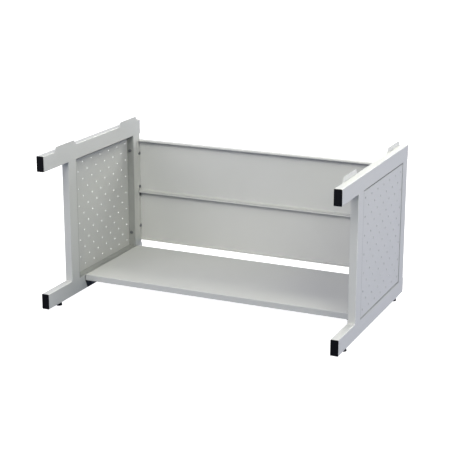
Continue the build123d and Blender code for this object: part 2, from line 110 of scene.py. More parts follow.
# Moulded end plugs
PLUG_HEAD = 3.0 * MM
PLUG_CORNER = 1.9 * MM
PLUG_LIP_ROUND = 0.7 * MM
PLUG_PRESS_FIT = 1.7 * MM  # head's outline to the body's outline
PLUG_BODY_WALL = 1.8 * MM
PLUG_TAPER = 0.97
GATE_RADIUS = 1.6 * MM
GATE_HEIGHT = 0.3 * MM

# Levelling studs, 8 mm thread
THREAD_CREST = 4.0 * MM
THREAD_ROOT = 3.3 * MM
THREAD_FLAT = 0.15 * MM
THREAD_STEPS = 24
HEXAGON_BOTTOM = 7.9 * MM  # these heights are over the floor
HEXAGON_TOP = 10.9 * MM
HEXAGON_CHAMFER = 0.9 * MM
NECK_RADIUS = 3.0 * MM
BUTTON_RADIUS = 5.0 * MM
BUTTON_TOP = 4.7 * MM
BUTTON_ROUND = 0.45 * MM
POINT_HEIGHT = 1.0 * MM

# Moulded foot pads
PAD_TOP_RADIUS = 8.6 * MM
PAD_ROUND = 0.8 * MM
PAD_BORE = 3.3 * MM
PAD_CAVITY = 5.3 * MM
PAD_CAVITY_TOP = 4.95 * MM
PAD_FLOOR = 1.6 * MM
PAD_SIDES = 48
PAD_GRIP_SPACING = 4  # sides from one grip groove to the next
PAD_GRIP_DEPTH = 0.3 * MM

# Fillet welds where the posts stand on the rails
WELD_MARGIN = 3.0 * MM  # corner of the tube to the bead's end
WELD_ROUND = 0.9  # share of the leg that is rounded off
WELD_SLICES = 8
WELD_RIPPLE = 0.94  # leg at every other slice's end
WELD_SMOOTH = 60  # degrees

# Widths of one patch or grain in the finishes' patterns
CLOUD_SIZE = 125.0 * MM  # slow drift of the powder coat's thickness
FLOOR_CLOUD_SIZE = 500.0 * MM
DUST_SIZE = 16.7 * MM
MOTTLE_SIZE = 4.0 * MM  # patches of the zinc's passivation
SAND_SIZE = 2.0 * MM
GRAIN_SIZE = 1.0 * MM

# Roughness of the finishes, and how far it strays either way
PLUG_ROUGHNESS = 0.5
PAD_ROUGHNESS = 0.45
ZINC_ROUGHNESS = 0.3
DULL_ZINC_ROUGHNESS = 0.45
BLACK_PAINT_ROUGHNESS = 0.51
PAINT_STRAY = 0.06
PLASTIC_STRAY = 0.08
ZINC_STRAY = 0.08
BLACK_PAINT_STRAY = 0.09

# Stage, in metres and degrees
SOFTBOXES = {  # where each one stands, and its width
    "overhead": ((0.2, -3.4, 3.2), 1.8),
    "back": ((0.5, 2.8, 2.6), 1.8),
    "low_right": ((3.2, 0.3, 0.5), 0.9),
    "low_left": ((-3.4, 0.7, 0.7), 1.2),
    "key": ((2.5, -1.6, 2.9), 1.8),
    "fill": ((-2.2, -3.6, 2.2), 1.8),
}
LIGHTS_AIM = Vector((0.0, 0.0, 0.25))
CAMERA_PLACE = (1.66, -3.6687, 1.429)
CAMERA_PITCH = 73.897  # up from straight down
CAMERA_TURN = 24.382  # to the left
SENSOR_WIDTH = 36.0  # millimetres
FLOOR_WIDTH = 40.0
FLOOR_DROP = 0.001  # from the pads to the floor
HORIZON = 0.3  # the room's ground and ceiling mix this far below and above the horizon
WHITE = (1.0, 1.0, 1.0, 1.0)


def linear(hex_colour):
    """An sRGB hex colour as linear red, green, blue and alpha."""
    channels = [int(hex_colour[at : at + 2], 16) / 255 for at in (1, 3, 5)]
    return tuple(c / 12.92 if c <= 0.04045 else ((c + 0.055) / 1.055) ** 2.4 for c in channels) + (1.0,)


def colour_property(name, description, hex_colour):
    """A colour that the user can change, given as sRGB hex."""
    return bpy.props.FloatVectorProperty(
        name=name, description=description, subtype="COLOR", size=4, min=0, max=1, default=linear(hex_colour)
    )


def length_property(name, description, millimetres):
    """A length that the user can change, given in millimetres."""
    return bpy.props.FloatProperty(
        name=name, description=description, unit="LENGTH", default=millimetres * MM
    )


def add_node(tree, kind, settings, links=()):
    """Add a node with its settings, by socket or attribute, and its links: (socket, source, its output)."""
    node = tree.nodes.new(kind)
    for key, value in settings.items():
        if isinstance(key, int) or key in node.inputs:
            node.inputs[key].default_value = value
        else:
            setattr(node, key, value)
    for socket, source, output in links:
        tree.links.new(source.outputs[output], node.inputs[socket])
    return node


def new_material(name):
    """An empty node material and its tree."""
    material = bpy.data.materials.new(name)
    material.use_nodes = True
    material.node_tree.nodes.clear()
    return material, material.node_tree


def finish_cad(names, material):
    """Give CAD nodes a material in every slot."""
    for name in names:
        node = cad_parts[name]
        if not node.material_slots:
            raise RuntimeError(f"{name} has no material slot")
        for slot in node.material_slots:
            slot.material = material


def start_solid(add, name, low, high, **shape):
    """A primitive between two corners, with its place and size applied, in edit mode."""
    bpy.ops.object.select_all(action="DESELECT")
    add(location=(Vector(low) + Vector(high)) / 2, **shape)
    solid = bpy.context.object
    solid.name = name
    solid.data.name = name
    span = Vector(high) - Vector(low)
    solid.scale = [wanted / now for wanted, now in zip(span, solid.dimensions)]
    bpy.ops.object.transform_apply(location=True, rotation=True, scale=True)
    bpy.ops.object.mode_set(mode="EDIT")
    return solid


def pick(kind, test):
    """Select the vertices, edges or faces being edited that pass the test, and nothing else."""
    bpy.ops.mesh.select_mode(type=kind)
    bpy.ops.mesh.select_all(action="DESELECT")
    mesh = bpy.context.object.data
    shape = bmesh.from_edit_mesh(mesh)
    parts = {"VERT": shape.verts, "EDGE": shape.edges, "FACE": shape.faces}[kind]
    chosen = [part for part in parts if test(part)]
    if not chosen:
        raise RuntimeError(f"nothing on {mesh.name} passes the test")
    for part in chosen:
        part.select_set(True)
    shape.select_flush(True)
    bmesh.update_edit_mesh(mesh)


def lies_at(part, axis, value):
    """Whether every vertex of an edge or face has this coordinate on an axis."""
    return all(abs(vertex.co[axis] - value) < CLOSE for vertex in part.verts)


def runs_along(edge, axis):
    """Whether an edge is parallel to an axis."""
    return abs((edge.verts[0].co - edge.verts[1].co).normalized()[axis]) > 0.999


def extrude(x=0.0, y=0.0, z=0.0):
    """Extrude the selection by this much."""
    bpy.ops.mesh.extrude_region_move(TRANSFORM_OT_translate={"value": (x, y, z)})


def widen(factor, centre):
    """Scale the selection across the vertical, about a centre."""
    bpy.ops.transform.resize(value=(factor, factor, 1.0), center_override=centre)


def close_solid(solid, smooth_angle=35):
    """Leave edit mode, with the shading smooth below the angle, in degrees."""
    bpy.ops.object.mode_set(mode="OBJECT")
    bpy.ops.object.shade_smooth_by_angle(angle=math.radians(smooth_angle))
    return solid


def copied(piece, name, shift, turn=0.0):
    """A copy with its own mesh, turned about the vertical and then moved, with its place applied."""
    bpy.ops.object.select_all(action="DESELECT")
    piece.select_set(True)
    bpy.context.view_layer.objects.active = piece
    bpy.ops.object.duplicate(linked=False)
    copy = bpy.context.object
    copy.name = name
    copy.data.name = name
    copy.rotation_euler.z = turn
    copy.location = shift
    bpy.ops.object.transform_apply(location=True, rotation=True, scale=True)
    return copy


def finish_piece(piece, material, body, replaced=None):
    """Give a piece its material, tie it to its body, and hide the CAD node that it replaces, if one is
    given.
    """
    piece.data.materials.clear()
    piece.data.materials.append(material)
    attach(piece, body)
    if replaced:
        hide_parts(replaced)


def box_middle(node):
    """The middle of a CAD node's box."""
    low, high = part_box(node)
    return (low + high) / 2


def measured_from_panels(tree, place):
    """A point's place from the side panels' middle, and how far it is inside their outline."""
    low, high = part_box(RIGHT_PANEL)
    middle = (low + high) / 2
    half = (high - low) / 2
    centred = add_node(
        tree, "ShaderNodeVectorMath", {"operation": "SUBTRACT", 1: middle}, [(0, place, "Object")]
    )
    apart = add_node(tree, "ShaderNodeVectorMath", {"operation": "ABSOLUTE"}, [(0, centred, "Vector")])
    inward = add_node(
        tree, "ShaderNodeVectorMath", {"operation": "SUBTRACT", 0: half}, [(1, apart, "Vector")]
    )
    ways = add_node(tree, "ShaderNodeSeparateXYZ", {}, [(0, inward, "Vector")])
    inside = add_node(tree, "ShaderNodeMath", {"operation": "MINIMUM"}, [(0, ways, "Y"), (1, ways, "Z")])
    return centred, inside


def painted_gap_shade_on_tubes(tree, place):
    """A mask of painted shade on the tubes: a dark line along the edges next to the side panels, where the
    gaps are in shade.
    """
    _, inside = measured_from_panels(tree, place)
    span = {"From Min": -JOINT_SHADE_DARKEST, "From Max": -JOINT_SHADE_END}
    return add_node(tree, "ShaderNodeMapRange", {**FADE, **span}, [("Value", inside, "Value")]), "Result"


def painted_shade_on_panels(tree, place):
    """A mask of painted shade on the side panels: along their bent edges, where the gaps are in shade, and
    round the holes' outer rims, which makes the holes look darker.
    """
    centred, inside = measured_from_panels(tree, place)
    lattice = add_node(
        tree,
        "ShaderNodeMapping",
        {"Rotation": (math.pi / 4, 0.0, 0.0), "Scale": (0.0, 1.0 / HOLE_SPACING, 1.0 / HOLE_SPACING)},
        [("Vector", centred, "Vector")],
    )
    cell = add_node(
        tree,
        "ShaderNodeVectorMath",
        {"operation": "WRAP", 1: (0.5, 0.5, 0.5), 2: (-0.5, -0.5, -0.5)},
        [(0, lattice, "Vector")],
    )
    reach = add_node(tree, "ShaderNodeVectorMath", {"operation": "LENGTH"}, [(0, cell, "Vector")])
    span = {"From Min": HOLE_RADIUS / HOLE_SPACING, "From Max": (HOLE_RADIUS + HOLE_SHADE_RING) / HOLE_SPACING}
    rims = add_node(tree, "ShaderNodeMapRange", {**FADE, **span}, [("Value", reach, "Value")])
    split = add_node(tree, "ShaderNodeSeparateXYZ", {}, [(0, place, "Object")])
    outward = add_node(tree, "ShaderNodeMath", {"operation": "ABSOLUTE"}, [(0, split, "X")])
    under_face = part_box(RIGHT_PANEL)[1].x - MM / 2
    outside = add_node(
        tree, "ShaderNodeMath", {"operation": "GREATER_THAN", 1: under_face}, [(0, outward, "Value")]
    )
    outer_rims = add_node(
        tree, "ShaderNodeMath", {"operation": "MULTIPLY"}, [(0, rims, "Result"), (1, outside, "Value")]
    )
    span = {"From Min": EDGE_SHADE_DARKEST, "From Max": EDGE_SHADE_END}
    edges = add_node(tree, "ShaderNodeMapRange", {**FADE, **span}, [("Value", inside, "Value")])
    both = add_node(
        tree, "ShaderNodeMath", {"operation": "MAXIMUM"}, [(0, outer_rims, "Value"), (1, edges, "Result")]
    )
    return both, "Value"


def powder_coat(name, finish, painted_shade_area=None):
    """Light grey polyester powder coat, sprayed and baked.

    It gives the eye an even, slightly cloudy grey, with a fine orange-peel texture that breaks up
    A painted shade darkens the gaps round the side panels and rings round their holes. The mask of
    such an area, if one is given, makes the grey there darker.
    """
    material, tree = new_material(name)
    place = add_node(tree, "ShaderNodeTexCoord", {})
    # The film's thickness drifts over about 120 mm, which shows as a faint cloudiness.
    clouds = add_node(
        tree, "ShaderNodeTexNoise", {"Scale": 1 / CLOUD_SIZE, "Detail": 3.0}, [("Vector", place, "Object")]
    )
    tint = add_node(
        tree,
        "ShaderNodeMix",
        {"data_type": "RGBA", FIRST: finish.paint_light, SECOND: finish.paint_dark},
        [("Factor", clouds, "Fac")],
    )
    # Painted shade: where the mask is, the grey is mixed towards a darker one.
    if painted_shade_area:
        mask, output = painted_shade_area(tree, place)
        tint = add_node(
            tree,
            "ShaderNodeMix",
            {"data_type": "RGBA", SECOND: finish.painted_shade_colour},
            [("Factor", mask, output), (FIRST, tint, MIXED)],
        )
    # The real peel is about 0.8 mm across. It is drawn coarser, so that it shows.
    peel = add_node(
        tree,
        "ShaderNodeTexNoise",
        {"Scale": 1 / finish.peel_size, "Detail": 2.0},
        [("Vector", place, "Object")],
    )
    gloss = add_node(
        tree,
        "ShaderNodeMapRange",
        {"To Min": finish.paint_roughness - PAINT_STRAY, "To Max": finish.paint_roughness + PAINT_STRAY},
        [("Value", peel, "Fac")],
    )
    bump = add_node(
        tree, "ShaderNodeBump", {"Strength": 0.3, "Distance": 0.3 * MM}, [("Height", peel, "Fac")]
    )
    paint = add_node(
        tree,
        "ShaderNodeBsdfPrincipled",
        {"IOR": 1.5, "Metallic": 0.0},
        [("Base Color", tint, MIXED), ("Roughness", gloss, "Result"), ("Normal", bump, "Normal")],
    )
    add_node(tree, "ShaderNodeOutputMaterial", {}, [("Surface", paint, "BSDF")])
    return material


def moulded_plastic(name, finish, roughness):
    """Black polyethylene or polyamide, injection moulded in an eroded tool.

    It gives the eye a near-black, soft sheen with a fine matt grain and a little dust.
    """
    material, tree = new_material(name)
    place = add_node(tree, "ShaderNodeTexCoord", {})
    # The tool's spark erosion leaves a grain of about 0.3 mm, drawn at 1 mm so that it shows.
    grain = add_node(
        tree, "ShaderNodeTexNoise", {"Scale": 1 / GRAIN_SIZE, "Detail": 2.0}, [("Vector", place, "Object")]
    )
    gloss = add_node(
        tree,
        "ShaderNodeMapRange",
        {"To Min": roughness - PLASTIC_STRAY, "To Max": roughness + PLASTIC_STRAY},
        [("Value", grain, "Fac")],
    )
    dust = add_node(
        tree, "ShaderNodeTexNoise", {"Scale": 1 / DUST_SIZE, "Detail": 4.0}, [("Vector", place, "Object")]
    )
    tint = add_node(
        tree,
        "ShaderNodeMix",
        {"data_type": "RGBA", FIRST: finish.plastic, SECOND: finish.plastic_dust},
        [("Factor", dust, "Fac")],
    )
    bump = add_node(
        tree, "ShaderNodeBump", {"Strength": 0.2, "Distance": 0.1 * MM}, [("Height", grain, "Fac")]
    )
    body = add_node(
        tree,
        "ShaderNodeBsdfPrincipled",
        {"IOR": 1.51, "Specular IOR Level": 0.2},
        [("Base Color", tint, MIXED), ("Roughness", gloss, "Result"), ("Normal", bump, "Normal")],
    )
    add_node(tree, "ShaderNodeOutputMaterial", {}, [("Surface", body, "BSDF")])
    return material


def black_powder_coat(name, finish):
    """Black epoxy powder coat on the steel brackets under the shelf's ends. Its black is painted shade: it
    stands in for the deep shade there.

    It gives the eye a satin black with a fine, sandy texture.
    """
    material, tree = new_material(name)
    place = add_node(tree, "ShaderNodeTexCoord", {})
    # The real texture is about 0.5 mm. It is drawn at 2 mm, so that it shows.
    sand = add_node(tree, "ShaderNodeTexVoronoi", {"Scale": 1 / SAND_SIZE}, [("Vector", place, "Object")])
    tint = add_node(
        tree,
        "ShaderNodeMix",
        {"data_type": "RGBA", FIRST: finish.bracket_shade_black, SECOND: finish.bracket_shade_black_grain},
        [("Factor", sand, "Distance")],
    )
    gloss = add_node(
        tree,
        "ShaderNodeMapRange",
        {
            "To Min": BLACK_PAINT_ROUGHNESS - BLACK_PAINT_STRAY,
            "To Max": BLACK_PAINT_ROUGHNESS + BLACK_PAINT_STRAY,
        },
        [("Value", sand, "Distance")],
    )
    bump = add_node(
        tree, "ShaderNodeBump", {"Strength": 0.25, "Distance": 0.2 * MM}, [("Height", sand, "Distance")]
    )
    coat = add_node(
        tree,
        "ShaderNodeBsdfPrincipled",
        {"IOR": 1.5},
        [("Base Color", tint, MIXED), ("Roughness", gloss, "Result"), ("Normal", bump, "Normal")],
    )
    add_node(tree, "ShaderNodeOutputMaterial", {}, [("Surface", coat, "BSDF")])
    return material


def zinc_plate(name, colour, stain, roughness):
    """Steel with zinc plate and a clear passivation.

    It gives the eye a cool metal, slightly uneven in hue and gloss.
    """
    material, tree = new_material(name)
    place = add_node(tree, "ShaderNodeTexCoord", {})
    mottle = add_node(
        tree, "ShaderNodeTexNoise", {"Scale": 1 / MOTTLE_SIZE, "Detail": 3.0}, [("Vector", place, "Object")]
    )
    tint = add_node(
        tree,
        "ShaderNodeMix",
        {"data_type": "RGBA", FIRST: colour, SECOND: stain},
        [("Factor", mottle, "Fac")],
    )
    gloss = add_node(
        tree,
        "ShaderNodeMapRange",
        {"To Min": roughness - ZINC_STRAY, "To Max": roughness + ZINC_STRAY},
        [("Value", mottle, "Fac")],
    )
    metal = add_node(
        tree,
        "ShaderNodeBsdfPrincipled",
        {"Metallic": 1.0},
        [("Base Color", tint, MIXED), ("Roughness", gloss, "Result")],
    )
    add_node(tree, "ShaderNodeOutputMaterial", {}, [("Surface", metal, "BSDF")])
    return material


def build_plug(name, low, high, sizes):
    """A moulded plug for the front end of a tube: a rimmed head, and a hollow body that is pressed in."""
    plug = start_solid(bpy.ops.mesh.primitive_cube_add, name, low, (high.x, low.y + PLUG_HEAD, high.z))
    pick("EDGE", lambda edge: runs_along(edge, Y))
    bpy.ops.mesh.bevel(offset=PLUG_CORNER, segments=5)
    pick("EDGE", lambda edge: lies_at(edge, Y, low.y))
    bpy.ops.mesh.bevel(offset=PLUG_LIP_ROUND, segments=3)
    # The recess in the head
    pick("FACE", lambda face: lies_at(face, Y, low.y))
    bpy.ops.mesh.inset(thickness=sizes.plug_rim - PLUG_LIP_ROUND)
    extrude(y=sizes.plug_recess)
    # The tapered body, hollow from its open end
    pick("FACE", lambda face: lies_at(face, Y, low.y + PLUG_HEAD))
    bpy.ops.mesh.inset(thickness=PLUG_PRESS_FIT)
    extrude(y=high.y - low.y - PLUG_HEAD)
    middle = ((low.x + high.x) / 2, high.y, (low.z + high.z) / 2)
    bpy.ops.transform.resize(value=(PLUG_TAPER, 1.0, PLUG_TAPER), center_override=middle)
    bpy.ops.mesh.inset(thickness=PLUG_BODY_WALL)
    extrude(y=low.y + PLUG_HEAD - high.y)
    # The mark of the mould's gate
    bpy.ops.mesh.select_mode(type="VERT")
    bpy.ops.mesh.primitive_cylinder_add(
        vertices=20,
        radius=GATE_RADIUS,
        depth=2 * GATE_HEIGHT,
        location=(middle[0], low.y + sizes.plug_recess, middle[2]),
        rotation=(math.pi / 2, 0.0, 0.0),
    )
    return close_solid(plug)


def build_thread(name, x, y, bottom, top, pitch):
    """A helical screw thread between two heights, closed at both ends."""
    bpy.ops.object.select_all(action="DESELECT")
    bpy.ops.mesh.primitive_plane_add(size=MM, location=(x, y, bottom))
    thread = bpy.context.object
    thread.name = name
    bpy.ops.object.mode_set(mode="EDIT")
    bpy.ops.mesh.select_all(action="SELECT")
    # One point at the root, drawn out to a tooth's outline
    bpy.ops.mesh.merge(type="CENTER")
    bpy.ops.transform.translate(value=(THREAD_ROOT, 0.0, 0.0))
    flank = (pitch - 2 * THREAD_FLAT) / 2
    depth = THREAD_CREST - THREAD_ROOT
    extrude(z=THREAD_FLAT)
    extrude(x=depth, z=flank)
    extrude(z=THREAD_FLAT)
    extrude(x=-depth, z=flank)
    bpy.ops.object.mode_set(mode="OBJECT")
    bpy.ops.object.modifier_add(type="SCREW")
    helix = thread.modifiers[-1]
    helix.screw_offset = pitch
    helix.iterations = int((top - bottom) / pitch) - 1
    helix.steps = THREAD_STEPS
    helix.render_steps = THREAD_STEPS
    helix.use_merge_vertices = True
    helix.merge_threshold = CLOSE
    bpy.ops.object.modifier_apply(modifier=helix.name)
    bpy.ops.object.transform_apply(location=True, rotation=True, scale=True)
    bpy.ops.object.mode_set(mode="EDIT")
    bpy.ops.mesh.select_all(action="SELECT")
    bpy.ops.mesh.remove_doubles(threshold=CLOSE)
    bpy.ops.mesh.fill_holes(sides=0)
    # Turning a profile can leave its faces inwards.
    bpy.ops.mesh.select_all(action="SELECT")
    bpy.ops.mesh.normals_make_consistent(inside=False)
    return close_solid(thread)


def build_stud(name, low, high, sizes):
    """A levelling screw: a button in the pad, a neck, a chamfered hexagon and a threaded shank."""
    x = (low.x + high.x) / 2
    y = (low.y + high.y) / 2
    pitch = sizes.thread_pitch
    thread = build_thread("thread", x, y, HEXAGON_TOP - pitch, high.z, pitch)
    reach = Vector((BUTTON_RADIUS, BUTTON_RADIUS, 0.0))
    button_low = Vector((x, y, low.z)) - reach
    button_high = Vector((x, y, BUTTON_TOP)) + reach
    # The button and the neck
    add_cylinder = bpy.ops.mesh.primitive_cylinder_add
    stud = start_solid(add_cylinder, name, button_low, button_high, vertices=32)
    pick("EDGE", lambda edge: lies_at(edge, Z, low.z) or lies_at(edge, Z, BUTTON_TOP))
    bpy.ops.mesh.bevel(offset=BUTTON_ROUND, segments=3)
    pick("FACE", lambda face: lies_at(face, Z, BUTTON_TOP))
    bpy.ops.mesh.inset(thickness=BUTTON_RADIUS - BUTTON_ROUND - NECK_RADIUS)
    extrude(z=HEXAGON_BOTTOM - BUTTON_TOP)
    # The hexagon
    bpy.ops.mesh.select_mode(type="VERT")
    corner = sizes.hexagon_across / 2 / math.cos(math.pi / 6)
    add_cylinder(
        vertices=6,
        radius=corner,
        depth=HEXAGON_TOP - HEXAGON_BOTTOM,
        location=(x, y, (HEXAGON_TOP + HEXAGON_BOTTOM) / 2),
        rotation=(0.0, 0.0, math.pi / 2),
    )
    pick("VERT", lambda vertex: (vertex.co - Vector((x, y, vertex.co.z))).length > corner - MM / 10)
    bpy.ops.mesh.bevel(offset=HEXAGON_CHAMFER, segments=2, affect="VERTICES")
    # The shank, with a chamfered point
    bpy.ops.mesh.select_mode(type="VERT")
    add_cylinder(
        vertices=THREAD_STEPS,
        radius=THREAD_ROOT,
        depth=high.z - HEXAGON_TOP,
        location=(x, y, (high.z + HEXAGON_TOP) / 2),
    )
    pick("EDGE", lambda edge: lies_at(edge, Z, high.z))
    bpy.ops.mesh.bevel(offset=POINT_HEIGHT, segments=1)
    close_solid(stud)
    bpy.ops.object.select_all(action="DESELECT")
    thread.select_set(True)
    stud.select_set(True)
    bpy.context.view_layer.objects.active = stud
    bpy.ops.object.join()
    return stud


def build_pad(name, low, high, sizes):
    """A moulded foot pad: tapered, with grip grooves round it, closed over the stud's button."""
    middle = Vector(((low.x + high.x) / 2, (low.y + high.y) / 2, high.z))
    radius = (high.x - low.x) / 2
    pad = start_solid(bpy.ops.mesh.primitive_cylinder_add, name, low, high, vertices=PAD_SIDES)
    pick("VERT", lambda vertex: abs(vertex.co.z - high.z) < CLOSE)
    widen(PAD_TOP_RADIUS / radius, middle)
    # Grip grooves
    pick("FACE", is_grip)
    bpy.ops.mesh.inset(thickness=PAD_ROUND, depth=-PAD_GRIP_DEPTH)
    pick("EDGE", lambda edge: lies_at(edge, Z, low.z) or lies_at(edge, Z, high.z))
    bpy.ops.mesh.bevel(offset=PAD_ROUND / 2, segments=3)
    # The hollow sole
    pick("FACE", lambda face: lies_at(face, Z, low.z))
    bpy.ops.mesh.inset(thickness=sizes.pad_rim)
    extrude(z=sizes.pad_hollow)
    # The bore for the stud's neck, and the wider cavity for its button
    pick("FACE", lambda face: lies_at(face, Z, high.z))
    bpy.ops.mesh.inset(thickness=PAD_TOP_RADIUS - PAD_ROUND / 2 - PAD_BORE)
    extrude(z=PAD_CAVITY_TOP - high.z)
    extrude()
    widen(PAD_CAVITY / PAD_BORE, middle)
    extrude(z=PAD_FLOOR - PAD_CAVITY_TOP)
    return close_solid(pad)


def is_grip(face):
    """Whether a face on the pad's side carries a grip groove."""
    if len(face.verts) != 4 or abs(face.normal.z) > 0.5:
        return False
    side = math.atan2(face.normal.y, face.normal.x) / math.tau * PAD_SIDES
    return math.floor(side) % PAD_GRIP_SPACING == 0


def build_weld(name, corner, reach):
    """A rippled fillet weld along X, with its middle at a corner between a post's face and a rail.

    The reach is half the bead's length, then its legs along the rail and up or down the post.
    """
    far = corner + reach
    near = corner - Vector((reach.x, 0.0, 0.0))
    low = Vector([min(pair) for pair in zip(near, far)])
    high = Vector([max(pair) for pair in zip(near, far)])
    weld = start_solid(bpy.ops.mesh.primitive_cube_add, name, low, high)
    pick("EDGE", lambda edge: lies_at(edge, Y, far.y) and lies_at(edge, Z, far.z))
    bpy.ops.mesh.bevel(offset=abs(reach.z) * WELD_ROUND, segments=3)
    for slice_end in range(1, WELD_SLICES):
        bpy.ops.mesh.select_all(action="SELECT")
        place = low.x + (high.x - low.x) * slice_end / WELD_SLICES
        bpy.ops.mesh.bisect(plane_co=(place, 0.0, 0.0), plane_no=(1.0, 0.0, 0.0))
        # Every other slice's end is drawn in, which makes the ripples.
        if slice_end % 2:
            pick("VERT", lambda vertex: abs(vertex.co.x - place) < CLOSE)
            bpy.ops.transform.resize(
                value=(1.0, WELD_RIPPLE, WELD_RIPPLE), center_override=(place, corner.y, corner.z)
            )
    return close_solid(weld, WELD_SMOOTH)


class FinishSettings(bpy.types.PropertyGroup):
    """Colours and grain of the rack's finishes."""

    paint_light: colour_property("Paint", "Powder coat, thick film", "#c1c2bf")
    paint_dark: colour_property("Paint, thin film", "Powder coat where the film is thin", "#bcbdb9")
    # Painted shade along the gaps round the side panels and round their holes
    painted_shade_colour: colour_property("Painted shade", "Side panels' bent edges and hole rims", "#939591")
    peel_size: length_property("Peel size", "Width of one dimple of the powder coat's texture", 2.5)
    paint_roughness: bpy.props.FloatProperty(
        name="Paint roughness", description="Roughness of the powder coat", subtype="FACTOR", default=0.45
    )
    plastic: colour_property("Plastic", "Plugs and foot pads", "#040407")
    plastic_dust: colour_property("Plastic, dusty", "Plugs and foot pads where they are dusty", "#08080c")
    # Painted shade: the brackets' black stands in for the deep shade under the shelf's ends.
    bracket_shade_black: colour_property("Black paint", "Powder coat of the shelf's brackets", "#0c0d0f")
    bracket_shade_black_grain: colour_property("Black paint, grain", "Raised grain of the black paint", "#1a1b1d")
    zinc: colour_property("Zinc", "Nuts, inserts and levelling studs", "#b9bdc3")
    zinc_stain: colour_property("Zinc, stained", "The zinc's warmer patches", "#c6c4b4")
    dull_zinc: colour_property("Dull zinc", "Screws", "#93959a")
    dull_zinc_stain: colour_property("Dull zinc, stained", "The screws' darker patches", "#6e6f70")


class PieceSettings(bpy.types.PropertyGroup):
    """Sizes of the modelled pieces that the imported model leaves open."""

    plug_rim: length_property("Plug rim", "Width of the rim round a plug's recess", 2.8)
    plug_recess: length_property("Plug recess", "Depth of the recess in a plug's head", 0.7)
    thread_pitch: length_property("Thread pitch", "Rise of a levelling stud's thread in one turn", 1.25)
    hexagon_across: length_property("Hexagon", "A levelling stud's hexagon across its flats", 13.0)
    pad_rim: length_property("Pad rim", "Width of the ring that a foot pad stands on", 2.2)
    pad_hollow: length_property("Pad hollow", "Depth of the hollow in a foot pad's sole", 0.6)
    weld_leg: length_property("Weld leg", "Height and depth of a weld bead", 1.6)


def power_property(name, watts):
    """The power of a softbox."""
    return bpy.props.FloatProperty(name=name, description="Power of a light", unit="POWER", default=watts)


def tint_property(name, colour):
    """The colour of a softbox's light or of the room, linear."""
    return bpy.props.FloatVectorProperty(
        name=name, description="Linear colour", subtype="COLOR", size=4, min=0, max=1, default=colour
    )


class StageSettings(bpy.types.PropertyGroup):
    """Camera, light and room."""

    lens: bpy.props.FloatProperty(name="Lens", description="Focal length", unit="CAMERA", default=104.67)
    overhead_power: power_property("Overhead light", 105.0)
    overhead_colour: tint_property("Overhead colour", (1.0, 0.99, 0.94, 1.0))
    back_power: power_property("Back light", 126.0)
    back_colour: tint_property("Back colour", (1.0, 1.0, 0.9, 1.0))
    low_right_power: power_property("Low right light", 46.0)
    low_right_colour: tint_property("Low right colour", (0.9, 0.88, 1.0, 1.0))
    low_left_power: power_property("Low left light", 55.0)
    low_left_colour: tint_property("Low left colour", (1.0, 0.97, 0.88, 1.0))
    key_power: power_property("Key light", 60.0)
    key_colour: tint_property("Key colour", (1.0, 1.0, 0.76, 1.0))
    fill_power: power_property("Fill light", 48.0)
    fill_colour: tint_property("Fill colour", (1.0, 0.96, 0.96, 1.0))
    ceiling: tint_property("Ceiling", (0.3, 0.31, 0.445, 1.0))
    ground: tint_property("Ground", (0.126, 0.163, 0.24, 1.0))


class RACK_OT_frames(bpy.types.Operator):
    """Paint the tubes and locating tabs of both side frames, and weld the posts to the rails."""

    bl_idname = "rack.frames"
    bl_label = "Side frames"

    def execute(self, context):
        """Give the side frames their powder coat, and add the painted welds."""
        finish = context.scene.rack_finish
        # Painted shade: the tubes are darker along the gaps next to the side panels.
        paint = powder_coat("frame_powder_coat", finish, painted_gap_shade_on_tubes)
        finish_cad([f"{side}_{name}" for side in SIDES for name in FRAME_NODES], paint)
        for side in SIDES:
            for weld in build_post_welds(side, context.scene.rack_pieces.weld_leg):
                finish_piece(weld, paint, BODY)
        return {"FINISHED"}


def build_post_welds(side, leg):
    """The fillet welds at both ends of a side frame's posts, all but those flush with the rails' ends."""
    bottom_rail_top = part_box(f"{side}_bottom_rail")[1].z
    top_rail_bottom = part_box(f"{side}_top_rail")[0].z
    front_low, front_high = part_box(f"{side}_front_post")
    rear_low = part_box(f"{side}_rear_post")[0]
    x = (front_low.x + front_high.x) / 2
    half_length = (front_high.x - front_low.x) / 2 - WELD_MARGIN
    faces = {
        "front_post_front": (front_low.y, -1),
        "front_post_back": (front_high.y, 1),
        "rear_post_front": (rear_low.y, -1),
    }
    welds = []
    for face, (y, out) in faces.items():
        for end, z, up in (("lower", bottom_rail_top, 1), ("upper", top_rail_bottom, -1)):
            reach = Vector((half_length, out * leg, up * leg))
            welds.append(build_weld(f"{side}_{face}_{end}_weld", Vector((x, y, z)), reach))
    return welds


class RACK_OT_sheets(bpy.types.Operator):
    """Paint the shelf, the back panels and the perforated side panels."""

    bl_idname = "rack.sheets"
    bl_label = "Sheet metal"

    def execute(self, context):
        """Give every sheet node the panels' powder coat, and the brackets a black one, which stands in for
        the shade under the shelf.
        """
        finish = context.scene.rack_finish
        finish_cad(SHEET_NODES, powder_coat("panel_powder_coat", finish))
        # Painted shade: the side panels are darker along their bent edges and round their holes.
        perforated = powder_coat("perforated_panel_powder_coat", finish, painted_shade_on_panels)
        finish_cad([f"{side}_side_panel" for side in SIDES], perforated)
        # Painted shade: the brackets are black to stand in for the deep shade under the shelf's ends.
        black = black_powder_coat("black_powder_coat", finish)
        finish_cad([f"{side}_shelf_bracket" for side in SIDES], black)
        return {"FINISHED"}


